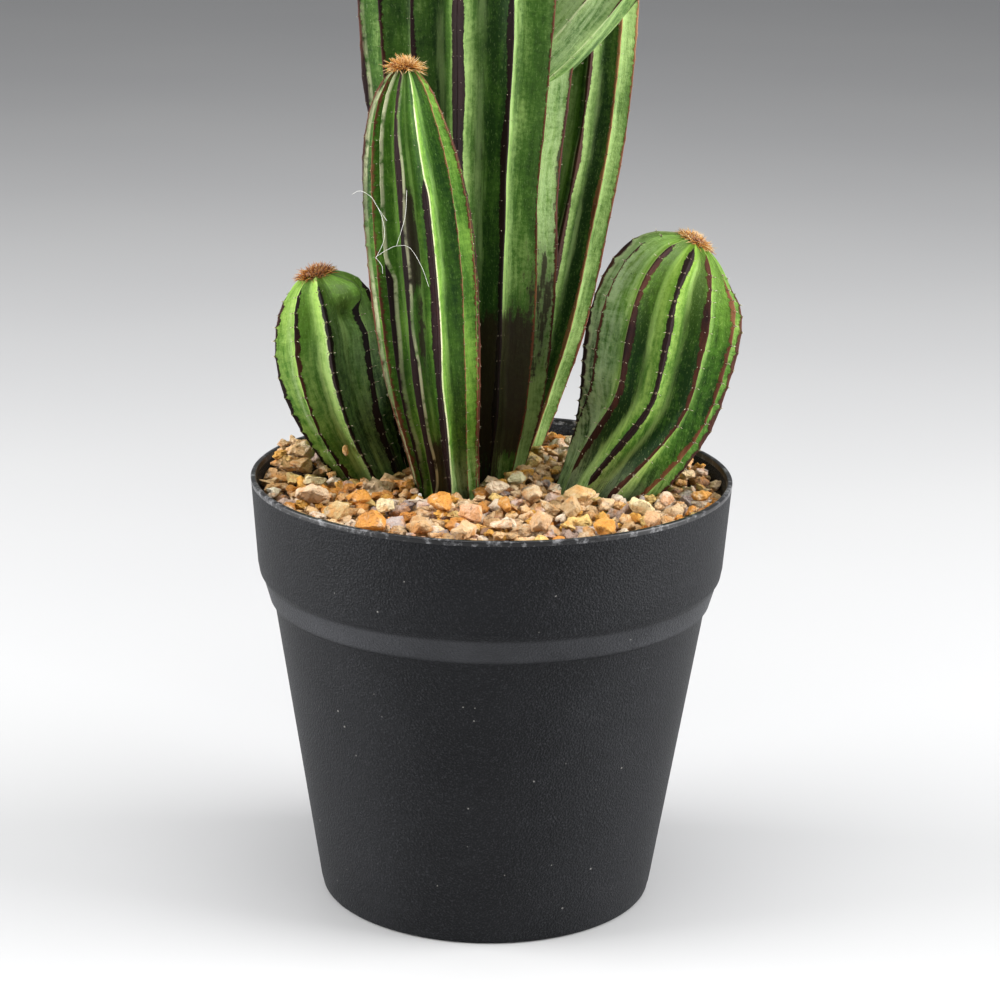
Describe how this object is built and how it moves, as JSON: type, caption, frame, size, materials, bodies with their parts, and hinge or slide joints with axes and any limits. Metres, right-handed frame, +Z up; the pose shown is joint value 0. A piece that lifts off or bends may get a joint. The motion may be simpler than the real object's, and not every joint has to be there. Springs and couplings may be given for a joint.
{
  "type": "potted columnar cactus",
  "caption": "Group of ribbed columnar cactus stems, the tallest with an arm, standing in gravel in a round black plastic pot with a deep rim band.",
  "frame": {"origin": "centre of the flat pad on the pot's underside, on the surface it stands on", "axes": "+Z up along the pot's axis; -Y is the front with the small front stem; +X is the viewer's right, where the arm and the right stem are"},
  "size_m": [0.1212, 0.12, 0.4489],
  "materials": {
    "pot_plastic": "matte",
    "potting_soil": "matte",
    "gravel": "matte",
    "cactus_skin": "satin",
    "bristle": "matte",
    "stone_tan": "matte",
    "stone_orange": "matte",
    "stone_pale": "matte"
  },
  "bodies": {
    "root": {"pot": "pot_plastic", "potting_soil": "potting_soil", "gravel_bed": "gravel", "main_stem": "cactus_skin", "rear_stem": "cactus_skin", "front_stem": "cactus_skin", "left_stem": "cactus_skin", "right_stem": "cactus_skin", "main_crown_tuft": "bristle", "arm_crown_tuft": "bristle", "rear_crown_tuft": "bristle", "front_crown_tuft": "bristle", "left_crown_tuft": "bristle", "right_crown_tuft": "bristle", "stone_01": "stone_orange", "stone_02": "stone_pale", "stone_03": "stone_tan", "stone_04": "stone_orange", "stone_05": "stone_pale", "stone_06": "stone_tan", "stone_07": "stone_orange", "stone_08": "stone_pale", "stone_09": "stone_tan", "stone_10": "stone_orange", "stone_11": "stone_pale", "stone_12": "stone_tan", "stone_13": "stone_orange", "stone_14": "stone_pale", "stone_15": "stone_tan", "stone_16": "stone_orange", "stone_17": "stone_pale", "stone_18": "stone_tan", "stone_19": "stone_orange", "stone_20": "stone_pale", "stone_21": "stone_tan", "stone_22": "stone_orange", "stone_23": "stone_pale", "stone_24": "stone_tan", "stone_25": "stone_orange", "stone_26": "stone_pale", "stone_27": "stone_tan", "stone_28": "stone_orange", "stone_29": "stone_pale", "stone_30": "stone_tan", "stone_31": "stone_orange", "stone_32": "stone_pale", "stone_33": "stone_tan", "stone_34": "stone_orange", "stone_35": "stone_pale", "stone_36": "stone_tan"}
  },
  "joints": []
}
